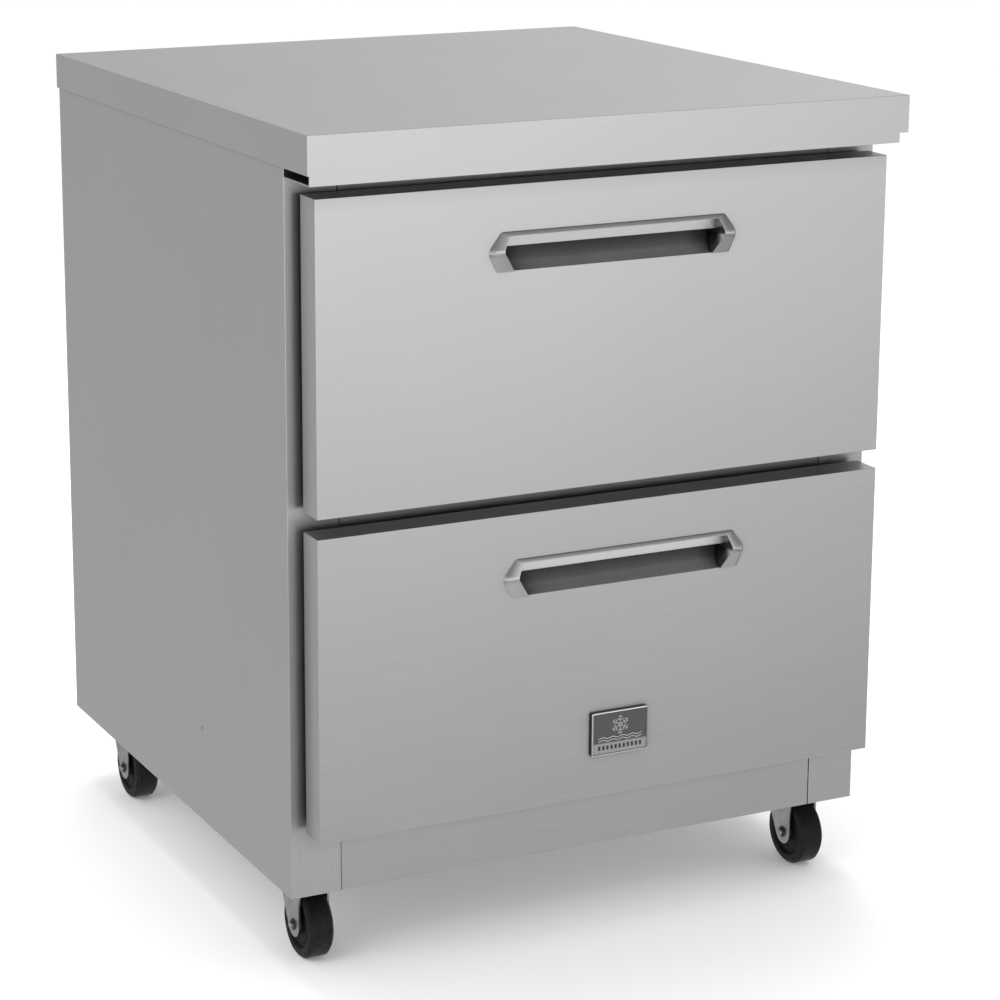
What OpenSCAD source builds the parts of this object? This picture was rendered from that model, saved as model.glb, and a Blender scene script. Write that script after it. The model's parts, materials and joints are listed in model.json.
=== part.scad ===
// Two-drawer undercounter refrigerator on casters, in millimetres.
// Origin: centre of the worktop's footprint, on the floor.  +Z up, the drawers open towards -Y,
// +X is to the right of a person facing the drawers.

/* [Worktop] */
// Width of the worktop
top_w = 698.5; // [660:0.5:760]
// Depth of the worktop
top_d = 749.3; // [720:0.1:800]
// Height of the worktop above the floor
top_h = 902; // [880:1:940]
// Height of the front apron
apron_h = 50.5; // [44:0.5:60]
// Height of the side and back aprons
side_apron_h = 40; // [30:1:44]
// Depth of the worktop's overhang in front of the cabinet
front_overhang = 63.5; // [60:0.5:80]
// Overhang at the back
back_overhang = 4; // [4:0.5:20]
// How far the apron's lower flange stops short of the left edge
notch_left = 2; // [1:0.5:12]
// How far the apron's lower flange stops short of the right edge
notch_right = 11; // [1:0.5:12]

/* [Cabinet] */
// Height of the cabinet's lower edge above the floor
base_z = 88.5; // [88:0.5:92]
// Height of the bottom pan above the cabinet's lower edge
base_recess = 12; // [12:0.5:14]
// Width of the front stiles that the side panels fold into
stile_w = 57.35; // [56:0.05:60]
// Thickness of the outer sheet steel
sheet = 1.2; // [1:0.1:1.5]
// Lower edge of the lower drawer opening
opening_z = 194; // [190:1:196]
// Height of each drawer opening
opening_h = 266; // [262:1:270]
// Height of the rail between the openings
mid_rail_h = 80; // [78:1:84]
// Depth of the machine compartment at the back
machine_d = 200; // [190:1:210]
// Height of the machine compartment
machine_h = 190; // [185:1:195]

/* [Drawer fronts] */
// Width of a drawer front
panel_w = 669; // [640:1:680]
// Height of a drawer front
panel_h = 325.8; // [320:0.1:330]
// Thickness of a drawer front
panel_t = 35.75; // [30:0.25:40]
// Gap between the two drawer fronts
panel_gap = 20.6; // [16:0.1:24]
// Gap between the front apron and the upper drawer front
top_gap = 15.2; // [12:0.1:18]
// How far the drawer fronts sit behind the front apron
panel_setback = 17; // [15:0.5:20]
// Travel of a drawer
drawer_travel = 400; // [380:5:400]

/* [Handles] */
// Height of a handle
handle_h = 41; // [36:1:46]
// Width over the pointed ends of a handle
handle_w = 294; // [240:2:320]
// How far the handle stands out of the drawer front
handle_proud = 6; // [4:0.5:8]
// Distance from the top of a drawer front to the top of its handle
handle_drop = 48.3; // [40:0.1:60]
// Sideways offset of the upper handle from the middle
upper_handle_x = 2; // [-5:1:5]
// Sideways offset of the lower handle from the middle
lower_handle_x = 21; // [-25:1:25]

/* [Casters] */
// Diameter of a caster wheel
wheel_d = 76; // [70:1:76]
// Width of a caster wheel
wheel_w = 28; // [26:1:30]
// Distance from the swivel axis to the axle
trail = 28; // [24:1:30]
// Distance between the swivel axes of the left and right casters
caster_track = 614; // [600:2:614]
// Distance of the swivel axes from the cabinet's front and back faces
caster_inset = 77; // [70:1:84]

/* [Badge] */
// Width of the badge
badge_w = 68.5; // [50:0.5:70]
// Height of the badge
badge_h = 49; // [30:1:50]
// Thickness of the badge
badge_t = 4.5; // [3.5:0.5:9]
// Sideways position of the badge
badge_x = 15; // [0:0.1:20]
// Height of the badge's middle above the lower edge of the lower drawer front
badge_up = 70.9; // [60:0.1:90]

/* [Hidden] */

$fn = 48;

// The worktop and the cabinet's outer faces
top_gauge = 1.5;
front_y = -top_d / 2;
cab_front = front_y + front_overhang;
cab_back = top_d / 2 - back_overhang;
cab_x = top_w / 2 - top_gauge;
cab_top = top_h - top_gauge;
skin_x = cab_x - sheet;
stile_x = cab_x - stile_w;
pan_z = base_z + base_recess;
apron_z = top_h - apron_h;
fold_d = 13;
play = 0.1;

// Drawer fronts, listed as the height of each one's lower edge
panel_y = front_y + panel_setback;
panel_back = panel_y + panel_t;
upper_panel_z = apron_z - top_gap - panel_h;
lower_panel_z = upper_panel_z - panel_gap - panel_h;

// Openings and the room behind them
upper_opening_z = opening_z + opening_h + mid_rail_h;
ceiling_z = upper_opening_z + opening_h + 6;
floor_z = opening_z - 44;
foam_top = ceiling_z + 47;
machine_y = cab_back - machine_d;
step_y = machine_y - 41;
step_z = pan_z + machine_h + 41;
liner_front = cab_front + fold_d + 0.65;
liner_back_y = cab_back - 59;
liner = 1;

// Telescopic slides: each profile nests in the one outside it
slide_l = drawer_travel;
slide_y = cab_front + 20;
slide_above = 175;
post_t = 3;
post_w = 30;
outer_x = stile_x - post_t;
outer_h = 46;
outer_web = 1.5;
middle_x = outer_x - outer_web - 1;
middle_h = 40;
inner_h = 33;
inner_x = middle_x - outer_web - 1;
slide_depth = 9;
frame_x = inner_x - slide_depth;
frame_t = 1.5;
frame_end = slide_y + slide_l - 15;
ledge_w = 16;
rear_bay = 64;
bar_w = 10;

// Finger pocket behind each handle
pocket_w = handle_w - 35;
pocket_d = 24;
pocket_wall = 2;

// Casters
fork_gap = 15.5;
fork_t = 2.5;
axle_r = 4;
crown_z = 87.5;
crown_t = 3;
king_r = 5;
swivel_x = caster_track / 2;
swivel_y = [cab_front + caster_inset, cab_back - caster_inset];
plate_size = [66, 92];
plate_t = 3.5;
bolt_x = 24;
bolt_y = 37;

// Machine compartment and evaporator
fan_z = pan_z + 96;
coil_x = -157;
coil_w = 210;
compressor_x = 150;
compressor_y = machine_y + 96;
compressor_r = 74;
tray_t = 2;
cover_x = 220;
cover_front = step_y + 34;
cover_z = 590;
blower_x = -95;
blower_z = 700;
knob_x = 165;
knob_z = 752;
dial_t = 16;
tube_r = 4.5;
line_z = pan_z + 30;
drier_x = -30;
drier_y = machine_y + 14;
drier_l = 90;
risers = [[239, machine_y + 72], [261, machine_y + 96]];

// Machine compartment's fan, which blows through the shroud on the coil
shroud_y = cab_back - 70;
coil_back = cab_back - 11;
coil_front = cab_back - 49;
shaft_r = 3;
shaft_play = 0.05;

// Back of the cabinet
gland_x = 255;
gland_z = pan_z + 30;
gland_r = 10;
cord_hole_r = 4.5;
screw_x = skin_x - 8;
screw_hole_r = 2.2;
grille_low = base_z + 4;
grille_high = step_z + 3;
grille_screw_z = [grille_low + 10, grille_high - 10];
back_screw_z = [step_z + 40, cab_top - 60];

// Colours
steel = [0.70, 0.71, 0.71];
galvanized = [0.62, 0.64, 0.66];
aluminium = [0.80, 0.81, 0.82];
zinc = [0.74, 0.75, 0.76];
black = [0.07, 0.07, 0.07];
foam_yellow = [0.87, 0.80, 0.58];
copper = [0.78, 0.48, 0.32];
grey_plastic = [0.55, 0.56, 0.57];
white_plastic = [0.90, 0.90, 0.88];

// A box between two opposite corners
module block(low, high) {
    translate(low) cube(high - low);
}

// A straight bar along X with an outline in Y and Z
module bar_x(x0, x1, outline) {
    translate([x0, 0, 0]) rotate([90, 0, 90]) linear_extrude(x1 - x0) polygon(outline);
}

// A cylinder along X, Y or Z from a start point
module rod_x(p, length, r) {
    translate(p) rotate([0, 90, 0]) cylinder(h = length, r = r);
}
module rod_y(p, length, r) {
    translate(p) rotate([-90, 0, 0]) cylinder(h = length, r = r);
}
module rod_z(p, length, r) {
    translate(p) cylinder(h = length, r = r);
}

// Both sides of what stands on the right
module both_sides() {
    children();
    mirror([1, 0, 0]) children();
}

// ---------------------------------------------------------------- worktop

module worktop() {
    half = top_w / 2;
    inner = half - top_gauge;
    color(steel) difference() {
        union() {
            block([-half, front_y, top_h - side_apron_h], [half, top_d / 2, top_h]);
            block([-half + notch_left, front_y, apron_z],
                  [half - notch_right, cab_front, top_h - side_apron_h + 1]);
        }
        block([-inner, front_y + top_gauge, apron_z + top_gauge],
              [inner, top_d / 2 - top_gauge, cab_top]);
        block([-half - 1, front_y + top_gauge, apron_z + top_gauge],
              [half + 1, cab_front + 1, top_h - side_apron_h]);
    }
}

// Two hat channels that carry the worktop between the side panels
module worktop_stiffeners() {
    spacing = 340;
    t = 1.5;
    foot = 48;
    inside = 25;
    outside = inside + t;
    low = foam_top + sheet + play;
    high = cab_top - play;
    color(galvanized) for (y = [-spacing / 2, spacing / 2]) {
        bar_x(-skin_x + 5, skin_x - 5, [
            [y - foot, low], [y - inside, low], [y - inside, high - t], [y + inside, high - t],
            [y + inside, low], [y + foot, low], [y + foot, low + t], [y + outside, low + t],
            [y + outside, high], [y - outside, high], [y - outside, low + t], [y - foot, low + t]]);
    }
}

// ---------------------------------------------------------------- cabinet shell

// One sheet: the side, the front stile, its inner fold and the fold that holds the back
module side_panel() {
    f = cab_front;
    b = cab_back;
    color(steel) translate([0, 0, base_z]) linear_extrude(cab_top - base_z - play) polygon([
        [stile_x, f], [cab_x, f], [cab_x, b], [skin_x, b], [skin_x, b - sheet],
        [skin_x - 15, b - sheet], [skin_x - 15, b - 2 * sheet], [skin_x, b - 2 * sheet],
        [skin_x, f + sheet], [stile_x + sheet, f + sheet], [stile_x + sheet, f + fold_d],
        [stile_x, f + fold_d]]);
}
module side_panel_right() {
    side_panel();
}
module side_panel_left() {
    mirror([1, 0, 0]) side_panel();
}

module back_panel() {
    color(galvanized) difference() {
        block([-skin_x, cab_back - sheet, step_z + 4], [skin_x, cab_back, cab_top - play]);
        for (z = back_screw_z, x = [-screw_x, 0, screw_x])
            rod_y([x, cab_back - 2, z], 4, screw_hole_r);
    }
}

module bottom_pan() {
    color(galvanized)
        block([-skin_x + play, liner_front, pan_z], [skin_x - play, cab_back - 3, pan_z + sheet]);
}

module top_pan() {
    color(galvanized)
        block([-skin_x + play, liner_front, foam_top], [skin_x - play, cab_back - 3, foam_top + sheet]);
}

// A rail between the stiles, folded back along its upper and lower edges
module rail(z0, z1, fold_low, fold_high) {
    f = cab_front;
    x = stile_x - play / 2;
    color(steel) {
        block([-x, f, z0], [x, f + sheet, z1]);
        if (fold_low) block([-x, f, z0], [x, f + fold_d, z0 + sheet]);
        if (fold_high) block([-x, f, z1 - sheet], [x, f + fold_d, z1]);
    }
}
module top_rail() {
    rail(upper_opening_z + opening_h, cab_top - play, true, false);
}
module mid_rail() {
    rail(opening_z + opening_h, upper_opening_z, true, true);
}
module kick_panel() {
    rail(base_z, opening_z, true, true);
}

// Plastic frames that line the openings and keep the cold liner off the steel
module breaker_strips() {
    t = 2;
    color(grey_plastic) for (z = [opening_z, upper_opening_z]) difference() {
        block([-stile_x + play, cab_front + play, z + play],
              [stile_x - play, cab_front + 26, z + opening_h - play]);
        block([-stile_x + t, cab_front, z + t],
              [stile_x - t, cab_front + 27, z + opening_h - t]);
    }
}

// ---------------------------------------------------------------- liner and insulation

module liner_sides() {
    color(aluminium) both_sides()
        block([stile_x, liner_front, floor_z], [stile_x + liner, liner_back_y, ceiling_z]);
}

module liner_floor() {
    color(aluminium) {
        block([-stile_x, liner_front, floor_z - liner], [stile_x, step_y - play, floor_z]);
        block([-stile_x + play, liner_front, floor_z - liner],
              [stile_x - play, liner_front + liner, opening_z - 1.5]);
    }
}

module liner_ceiling() {
    color(aluminium)
        block([-stile_x, liner_front, ceiling_z], [stile_x, liner_back_y, ceiling_z + liner]);
}

// Three sheets: behind the lower drawer, the shelf over the machine compartment, and above it
module liner_back() {
    x = stile_x - play;
    color(aluminium) difference() {
        union() {
            block([-x, step_y, floor_z - liner], [x, step_y + liner, step_z - play]);
            block([-x, step_y, step_z], [x, liner_back_y - liner - play, step_z + liner]);
            block([-x, liner_back_y - liner, step_z], [x, liner_back_y, ceiling_z - play]);
        }
        for (at = risers) rod_z([at[0], at[1], step_z - 5], 10, tube_r + 1.5);
    }
}

// Foam slabs: two sides, floor, behind the lower drawer, over the compartment, back and top
module insulation() {
    x = stile_x + liner + play;
    low = pan_z + sheet + play;
    high = foam_top - play;
    back = cab_back - 3;
    side = stile_x - play;
    color(foam_yellow) {
        both_sides() block([x, liner_front, low], [skin_x - play, back, high]);
        block([-side, liner_front, low], [side, step_y - play, floor_z - liner - play]);
        block([-side, step_y + liner + play, low], [side, machine_y, step_z - 40 - 2 * play]);
        difference() {
            block([-side, step_y + liner + play, step_z - 40], [side, back, step_z - play]);
            for (at = risers) rod_z([at[0], at[1], step_z - 45], 50, tube_r + 1.5);
        }
        block([-side, liner_back_y + play, step_z + play], [side, back, ceiling_z + liner]);
        block([-side, liner_front, ceiling_z + liner + play], [side, back, high]);
        block([-side + 1, cab_front + sheet + play, opening_z + opening_h + sheet + play],
              [side - 1, cab_front + 26, upper_opening_z - sheet - play]);
    }
}

// ---------------------------------------------------------------- drawer slides

// Four slotted posts that carry the slides
module slide_pilasters() {
    color(aluminium) both_sides() for (y = [slide_y + 30, slide_y + slide_l - 60]) difference() {
        block([outer_x, y, floor_z + 4], [stile_x, y + post_w, ceiling_z - 4]);
        for (z = [floor_z + 30 : 40 : ceiling_z - 30])
            block([outer_x - 1, y + post_w / 2 - 2, z], [stile_x + 1, y + post_w / 2 + 2, z + 14]);
    }
}

// A lying C profile of a slide, open towards the middle when opens is -1
module slide_profile(x, h, z, depth, opens) {
    t = outer_web;
    y1 = slide_y + slide_l;
    web = opens < 0 ? x - t : x - depth;
    block([web, slide_y, z - h / 2], [web + t, y1, z + h / 2]);
    for (edge = [z - h / 2, z + h / 2 - t]) block([x - depth, slide_y, edge], [x, y1, edge + t]);
}
module cabinet_slides(z) {
    color(zinc) both_sides() slide_profile(outer_x, outer_h, z, slide_depth, -1);
}
module middle_slides(z) {
    color(zinc) both_sides() slide_profile(middle_x, middle_h, z, slide_depth, -1);
}
module upper_cabinet_slides() {
    cabinet_slides(upper_opening_z + slide_above);
}
module lower_cabinet_slides() {
    cabinet_slides(opening_z + slide_above);
}
module upper_middle_slides() {
    middle_slides(upper_opening_z + slide_above);
}
module lower_middle_slides() {
    middle_slides(opening_z + slide_above);
}

// ---------------------------------------------------------------- drawers

// Handle opening through the drawer front's sheet and foam
module handle_cutout(x, z, grow) {
    half = pocket_w / 2 + 1.5 + grow;
    top = handle_h / 2;
    block([x - half, panel_y - 1, z - top + 0.5 - grow],
          [x + half, panel_y + pocket_d + pocket_wall + 1 + grow, z + top - 1.5 + grow]);
}

function handle_z(low) = low + panel_h - handle_drop - handle_h / 2;

module drawer_skin(low, handle_x) {
    x = panel_w / 2;
    color(steel) difference() {
        block([-x, panel_y, low], [x, panel_back, low + panel_h]);
        block([-x + sheet, panel_y + sheet, low + sheet],
              [x - sheet, panel_back + 1, low + panel_h - sheet]);
        translate([0, -0.5, 0]) handle_cutout(handle_x, handle_z(low), 0);
    }
}

module drawer_core(low, handle_x) {
    x = panel_w / 2 - sheet - play;
    color(foam_yellow) difference() {
        block([-x, panel_y + sheet + play, low + sheet + play],
              [x, panel_back - 2 * sheet, low + panel_h - sheet - play]);
        handle_cutout(handle_x, handle_z(low), play);
    }
}

// The plastic inner wall of a drawer front
module drawer_back(low) {
    x = panel_w / 2 - sheet - play;
    color(white_plastic)
        block([-x, panel_back - 2 * sheet + play, low + sheet + play],
              [x, panel_back, low + panel_h - sheet - play]);
}

// Magnetic gasket: a flat frame with a raised ridge that meets the cabinet
module drawer_gasket(low) {
    inset = 7;
    w = 20;
    ridge = 3;
    base_y = panel_back + play;
    y1 = cab_front - 0.3;
    color(grey_plastic) {
        window_frame(low, inset, inset + w, base_y, panel_back + 4);
        window_frame(low, inset + ridge, inset + w - ridge, panel_back + 3, y1);
    }
}

// A flat frame behind a drawer front, between two insets from the front's edges
module window_frame(low, outer, inner, y0, y1) {
    x = panel_w / 2;
    difference() {
        block([-x + outer, y0, low + outer], [x - outer, y1, low + panel_h - outer]);
        block([-x + inner, y0 - 1, low + inner], [x - inner, y1 + 1, low + panel_h - inner]);
    }
}

// Scooped finger pocket, a recessed grip lip hanging from its top and a thick pointed band at each end
module drawer_handle(low, x) {
    z = handle_z(low);
    top = handle_h / 2;
    half = handle_w / 2;
    p = pocket_w / 2;
    inner = pocket_d;
    outer = pocket_d + pocket_wall;
    color(aluminium) translate([x, panel_y, z]) {
        difference() {
            bar_x(-p - 1.2, p + 1.2, [
                [0, 0.6 - top], [2.5, 0.6 - top], [9.5, 4.7 - top], [outer - 2.7, -7.8],
                [outer, 0.8], [outer, top - 6.5], [outer - 4.5, top - 2], [0, top - 2]]);
            bar_x(-p, p, [
                [-1, 1.8 - top], [2, 1.8 - top], [8.5, 6 - top], [inner - 2.3, -7.2],
                [inner, 1], [inner, top - 7.3], [inner - 3.2, top - 3.5], [-1, top - 3.5]]);
        }
        bar_x(-p - 1, p + 1, [
            [-1.6, top], [-1.6, top - 4], [5.5, top - 4.5], [10, 3.5], [11.6, 3.5],
            [7.5, top - 3], [0, top - 2], [0, top]]);
        both_sides() rotate([90, 0, 0]) linear_extrude(handle_proud) polygon([
            [half - 30, -top], [half - 10, -top], [half, 0], [half - 15.5, top],
            [half - 22, top], [half - 23.5, top - 4.5], [half - 16.5, 0]]);
    }
}

// Welded frame that hangs the food pans: two rails with ledges, end bars and a divider bar
module drawer_frame(opening) {
    z = opening + slide_above;
    bottom = z - 24;
    top = z + 28;
    front = panel_back + play;
    inner = frame_x - frame_t;
    color(steel) {
        both_sides() {
            block([inner, front, bottom], [frame_x, frame_end, top]);
            block([inner - ledge_w, front, top - frame_t], [frame_x, frame_end, top]);
        }
        block([-frame_x, front, bottom], [frame_x, front + frame_t, top]);
        block([-frame_x, frame_end - frame_t, bottom], [frame_x, frame_end, top]);
        block([-frame_x, frame_end - 14, top - frame_t], [frame_x, frame_end, top]);
        block([-inner, frame_end - rear_bay - bar_w, top - 12],
              [inner, frame_end - rear_bay, top]);
        both_sides() slide_profile(inner_x, inner_h, z, slide_depth, 1);
    }
}

// Raised face plate: a bevelled block with a sunk upper field and a plain lower strip
module badge() {
    z = lower_panel_z + badge_up;
    rim = 1.6;
    strip = 12.5;
    color(zinc) translate([badge_x, panel_y, z]) difference() {
        union() {
            block([-badge_w / 2, -badge_t + 1.5, -badge_h / 2], [badge_w / 2, 0, badge_h / 2]);
            block([-badge_w / 2 + 1, -badge_t, -badge_h / 2 + 1],
                  [badge_w / 2 - 1, -badge_t + 2, badge_h / 2 - 1]);
        }
        block([-badge_w / 2 + rim + 1, -badge_t - 1, -badge_h / 2 + strip],
              [badge_w / 2 - rim - 1, -badge_t + 0.8, badge_h / 2 - rim - 1]);
    }
}

// ---------------------------------------------------------------- evaporator

// A fan of flat pitched blades round a hub on the Y axis, bored for its shaft
module fan(x, y, z, radius, count) {
    hub_l = 18;
    root = 10;
    chord = 28;
    pitch = 28;
    color(grey_plastic) translate([x, y, z]) difference() {
        union() {
            rod_y([0, 0, 0], hub_l, 15);
            for (i = [0 : count - 1]) rotate([0, i * 360 / count, 0])
                translate([root, hub_l / 2, 0]) rotate([pitch, 0, 0])
                    block([0, -1, -chord / 2], [radius - root, 1, chord / 2]);
        }
        rod_y([0, -1, 0], hub_l + 12, shaft_r + shaft_play);
    }
}

// A motor can on the Y axis, its shaft towards -Y or +Y, and three arms to a ring of posts;
// shaft and posts give where each starts and ends along Y
module fan_motor(x, y0, y1, z, r, shaft, posts) {
    ring_r = 92;
    half_arm = 5;
    color(black) translate([x, 0, z]) {
        rod_y([0, y0, 0], y1 - y0, r);
        rod_y([0, shaft[0], 0], shaft[1] - shaft[0], shaft_r);
        for (a = [90, 210, 330]) rotate([0, a, 0]) {
            block([r - 6, y0 + 4, -half_arm], [ring_r, y0 + 7, half_arm]);
            block([ring_r - 4, posts[0], -half_arm], [ring_r, posts[1], half_arm]);
        }
    }
}

// A block of fins on a row of tubes, between two end plates
module coil(x0, x1, y0, y1, z0, z1, pitch) {
    half_fin = 0.5;
    end_t = 1.5;
    row_pitch = 25;
    coil_tube_r = 4;
    color(aluminium) {
        for (x = [x0 + pitch : pitch : x1 - pitch / 2])
            block([x - half_fin, y0, z0], [x + half_fin, y1, z1]);
        for (z = [z0 + 15 : row_pitch : z1 - 10], y = [y0 + 9, y1 - 9])
            rod_x([x0, y, z], x1 - x0, coil_tube_r);
        for (x = [x0, x1 - end_t])
            block([x, y0 - 2, z0 - 3], [x + end_t, y1 + 2, z1 + 3]);
    }
}

// Sheet cover over the coil: fan opening on the left, louvres on the right, open at back and top
module evaporator_cover() {
    t = 2;
    back = liner_back_y - liner - play;
    color(white_plastic) difference() {
        block([-cover_x, cover_front, cover_z], [cover_x, back, ceiling_z - play]);
        block([-cover_x + t, cover_front + t, cover_z + t], [cover_x - t, back + 1, ceiling_z + 1]);
        rod_y([blower_x, cover_front - 1, blower_z], 10, 82);
        for (z = [cover_z + 30 : 14 : cover_z + 130])
            block([30, cover_front - 1, z], [195, cover_front + t + 1, z + 7]);
    }
}

module evaporator_coil() {
    coil(-195, 195, liner_back_y - 72, liner_back_y - 14, cover_z + 25, ceiling_z - 25, 7);
}

module evaporator_motor() {
    y = cover_front + 30;
    fan_motor(blower_x, y, y + 30, blower_z, 28, [y - 26, y + 1], [cover_front + 2 + play, y + 7]);
}

module evaporator_fan() {
    fan(blower_x, cover_front + 5, blower_z, 74, 5);
}

// Control body on the cover, bored for the knob's shaft
module thermostat() {
    color(black) difference() {
        block([knob_x - 22, cover_front - dial_t, knob_z - 22],
              [knob_x + 22, cover_front - play, knob_z + 22]);
        rod_y([knob_x, cover_front - dial_t - 1, knob_z], 11, shaft_r + shaft_play);
    }
}

// Dial with a pointer rib, and its shaft
module thermostat_knob() {
    y = cover_front - dial_t;
    color(grey_plastic) {
        rod_y([knob_x, y - 12, knob_z], 11.5, 15);
        rod_y([knob_x, y - 1, knob_z], 8, shaft_r);
        block([knob_x - 2.5, y - 17, knob_z - 12], [knob_x + 2.5, y - 11, knob_z + 14]);
    }
}

// ---------------------------------------------------------------- condensing unit

// Hermetic compressor with its foot plate, terminal cover and four rubber grommets
module compressor() {
    z = pan_z + sheet + play + tray_t;
    r = compressor_r;
    plate_z = z + 12;
    can_z = z + 15;
    color(black) translate([compressor_x, compressor_y, 0]) {
        translate([0, 0, can_z]) rotate_extrude() polygon([
            [0, 0], [r - 8, 0], [r - 1, 8], [r - 1, 62], [r, 64], [r, 70], [r - 1, 72],
            [r - 1, 96], [r - 5, 112], [r - 18, 126], [r - 40, 134], [0, 137]]);
        block([-78, -58, plate_z], [78, 58, can_z + 0.5]);
        block([-40, -91, z + 50], [10, -62, z + 92]);
        for (x = [-64, 64], y = [-44, 44]) rod_z([x, y, z], plate_z - play - z, 11);
    }
}

module condenser_coil() {
    coil(coil_x - coil_w / 2, coil_x + coil_w / 2, coil_front, coil_back,
         pan_z + 14, pan_z + machine_h - 14, 6);
}

module condenser_shroud() {
    y0 = shroud_y;
    y1 = coil_front - 2 - play;
    x0 = coil_x - coil_w / 2;
    x1 = coil_x + coil_w / 2;
    z0 = pan_z + sheet + play + tray_t;
    z1 = pan_z + machine_h - 10;
    t = 1.5;
    color(galvanized) difference() {
        block([x0, y0, z0], [x1, y1, z1]);
        block([x0 + t, y0 + t, z0 + t], [x1 - t, y1 + 1, z1 - t]);
        rod_y([coil_x, y0 - 1, fan_z], 4, 82);
    }
}

module condenser_motor() {
    y = machine_y + 40;
    face = shroud_y - play;
    fan_motor(coil_x, y, y + 42, fan_z, 32, [y + 41, face - 2], [y + 4, face]);
}

module condenser_fan() {
    fan(coil_x, shroud_y - 19, fan_z, 76, 5);
}

// Tray that the condensing unit stands on
module unit_base() {
    x = 284;
    z = pan_z + sheet + play;
    y0 = machine_y + 5;
    y1 = cab_back - 6;
    lip = 1.5;
    color(galvanized) {
        block([-x, y0, z], [x, y1, z + tray_t - play]);
        for (y = [y0, y1 - lip]) block([-x, y, z], [x, y + lip, z + 10]);
    }
}

module filter_drier() {
    r = 11;
    color(copper) translate([drier_x, drier_y, line_z]) rotate([0, 90, 0]) rotate_extrude()
        polygon([[0, 0], [tube_r, 0], [tube_r, 10], [r, 20], [r, drier_l - 18],
                 [tube_r, drier_l - 8], [tube_r, drier_l], [0, drier_l]]);
}

// A tube through a list of points, each step along one axis, with a ball at every bend
module pipe(points) {
    for (i = [0 : len(points) - 2]) {
        step = points[i + 1] - points[i];
        along = norm(step);
        turn = step[0] != 0 ? [0, 90 * sign(step[0]), 0]
             : step[1] != 0 ? [-90 * sign(step[1]), 0, 0]
             : [step[2] > 0 ? 0 : 180, 0, 0];
        translate(points[i]) rotate(turn) cylinder(h = along, r = tube_r);
        if (i > 0) translate(points[i]) sphere(r = tube_r);
    }
}

// Suction, liquid, discharge and condenser outlet lines
module refrigerant_lines() {
    coil_end = coil_x + coil_w / 2 + play;
    coil_y = cab_back - 36;
    discharge_z = 222;
    suction_z = discharge_z + 10;
    liquid = risers[0];
    suction = risers[1];
    cover_side = cover_x + play;
    color(copper) {
        pipe([[cover_side, suction[1], 650], [suction[0], suction[1], 650],
              [suction[0], suction[1], suction_z],
              [compressor_x + compressor_r + play, suction[1], suction_z]]);
        pipe([[drier_x + drier_l + play, drier_y, line_z], [liquid[0], drier_y, line_z],
              [liquid[0], liquid[1], line_z], [liquid[0], liquid[1], 620],
              [cover_side, liquid[1], 620]]);
        pipe([[coil_end, coil_y, discharge_z], [compressor_x - 38, coil_y, discharge_z]]);
        pipe([[coil_end, coil_y, line_z], [coil_end + 12, coil_y, line_z],
              [coil_end + 12, drier_y, line_z], [drier_x - play, drier_y, line_z]]);
    }
}

// ---------------------------------------------------------------- back and fasteners

module rear_grille() {
    color(galvanized) difference() {
        block([-skin_x, cab_back - sheet, grille_low], [skin_x, cab_back, grille_high]);
        for (z = [grille_low + 26 : 15 : grille_high - 40], x = [-290, -90, 110])
            block([x, cab_back - 3, z], [x + (x > 0 ? 120 : 180), cab_back + 1, z + 6]);
        rod_y([gland_x, cab_back - 2, gland_z], 4, gland_r + play);
        for (z = grille_screw_z, x = [-screw_x, screw_x])
            rod_y([x, cab_back - 2, z], 4, screw_hole_r);
    }
}

// Gland that the supply cord passes through
module cord_gland() {
    y = cab_back;
    color(black) translate([gland_x, 0, gland_z]) difference() {
        union() {
            rod_y([0, y - 18, 0], 21, gland_r);
            rod_y([0, y + play, 0], 2.9, 14);
            translate([0, y - sheet - play, 0]) rotate([90, 0, 0]) cylinder(h = 6, r = 15, $fn = 6);
        }
        rod_y([0, y - 20, 0], 30, cord_hole_r);
    }
}

// Panel screws at the back and the hex bolts that hold the caster plates
module screws() {
    color(zinc) {
        for (z = grille_screw_z, x = [-screw_x, screw_x]) panel_screw(x, z);
        for (z = back_screw_z, x = [-screw_x, 0, screw_x]) panel_screw(x, z);
        both_sides() for (y = swivel_y, dx = [-bolt_x, bolt_x], dy = [-bolt_y, bolt_y])
            translate([swivel_x + dx, y + dy, pan_z - plate_t]) {
                translate([0, 0, -4]) cylinder(h = 4, r = 6.5, $fn = 6);
                translate([0, 0, -1]) cylinder(h = 4.4, r = 4);
            }
    }
}
module panel_screw(x, z) {
    rod_y([x, cab_back - sheet + play, z], sheet, 2);
    rod_y([x, cab_back + play / 2, z], 2, 4.2);
}

// ---------------------------------------------------------------- casters

// Top plates with their swivel races and king pins
module caster_plates() {
    race_z = crown_z + crown_t + 0.3;
    half = plate_size / 2;
    color(zinc) both_sides() for (y = swivel_y) translate([swivel_x, y, 0]) difference() {
        union() {
            block([-half[0], -half[1], pan_z - plate_t], [half[0], half[1], pan_z]);
            rod_z([0, 0, race_z], pan_z - 3 - race_z, 24);
            rod_z([0, 0, crown_z - 3], 12, king_r);
            rod_z([0, 0, crown_z - 3.3], 3, 8.5);
        }
        for (dx = [-bolt_x, bolt_x], dy = [-bolt_y, bolt_y]) rod_z([dx, dy, pan_z - 4], 5, 4.2);
    }
}

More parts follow.
